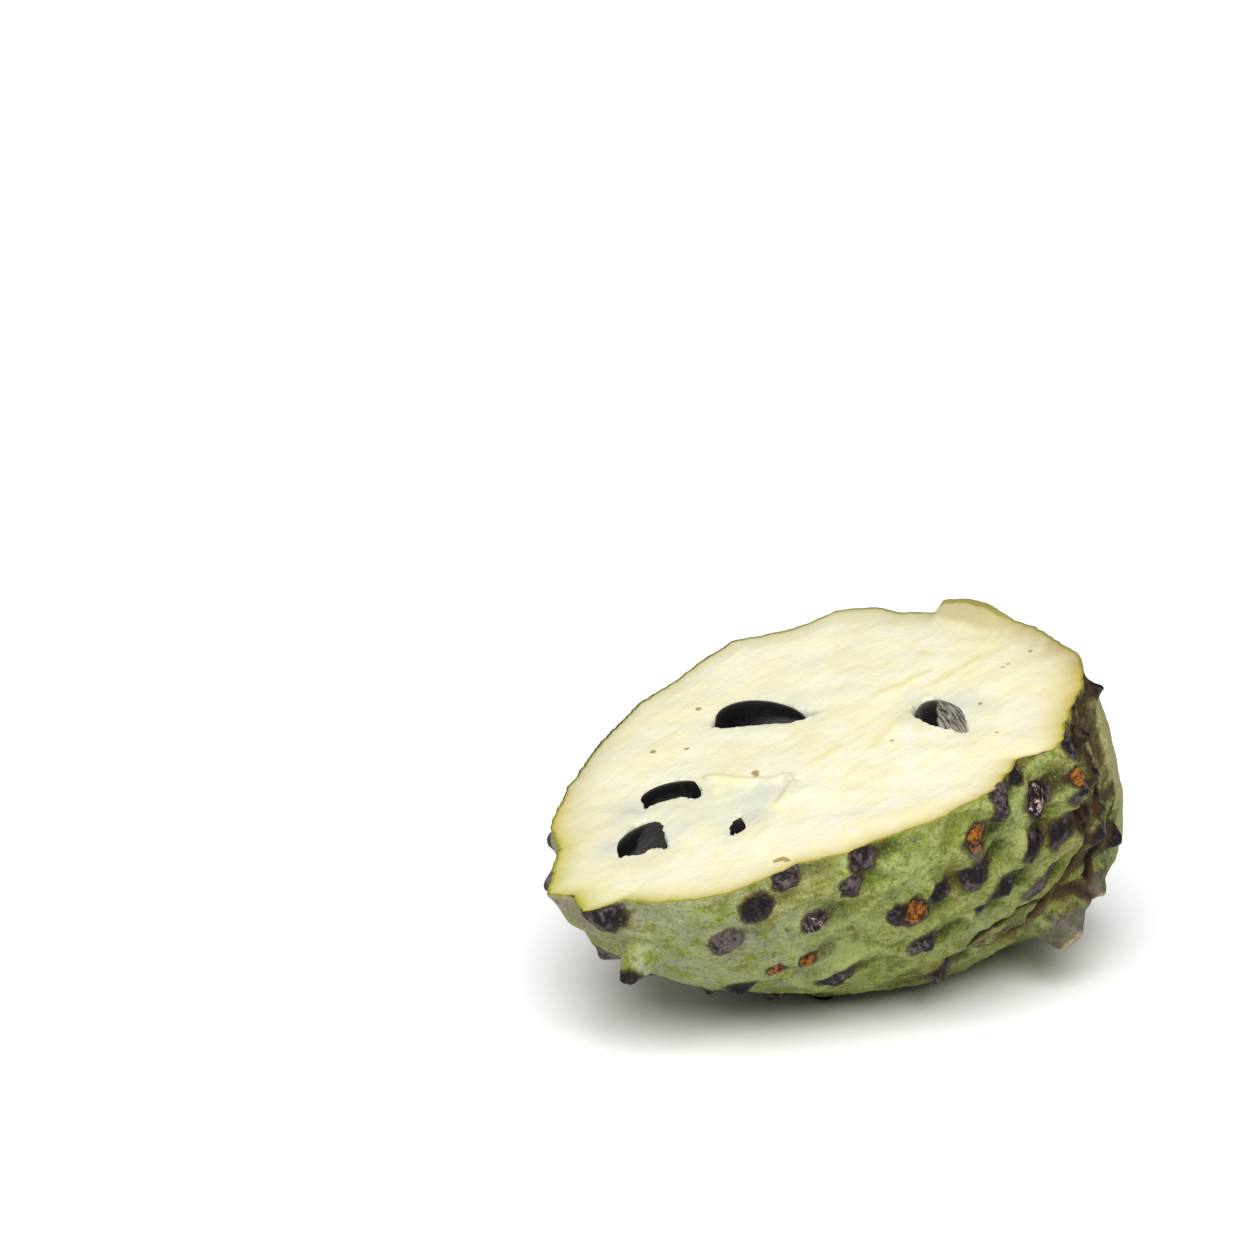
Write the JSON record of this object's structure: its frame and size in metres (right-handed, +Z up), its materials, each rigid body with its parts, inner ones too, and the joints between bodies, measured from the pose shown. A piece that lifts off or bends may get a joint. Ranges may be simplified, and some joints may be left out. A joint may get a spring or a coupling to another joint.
{
  "type": "atemoya half",
  "caption": "Atemoya fruit cut in half lengthwise, lying on its knobbly green skin with the cream cut face and dark seeds up.",
  "frame": {"origin": "bottom centre of the bounding box, on the surface that the fruit half rests on", "axes": "+Z up; +X is the level direction in which the fruit's own axis points to the stem end, which lies 16 degrees higher; +Y to the far rim as seen from the side in the picture"},
  "size_m": [0.1297, 0.0878, 0.0647],
  "materials": {
    "skin_and_flesh": "matte",
    "seed_coat": "gloss"
  },
  "bodies": {
    "root": {"fruit_half": "skin_and_flesh", "seed_middle": "seed_coat", "seed_near_stem": "seed_coat", "seed_tip_upper": "seed_coat", "seed_tip_lower": "seed_coat", "seed_sliver": "seed_coat"}
  },
  "joints": []
}
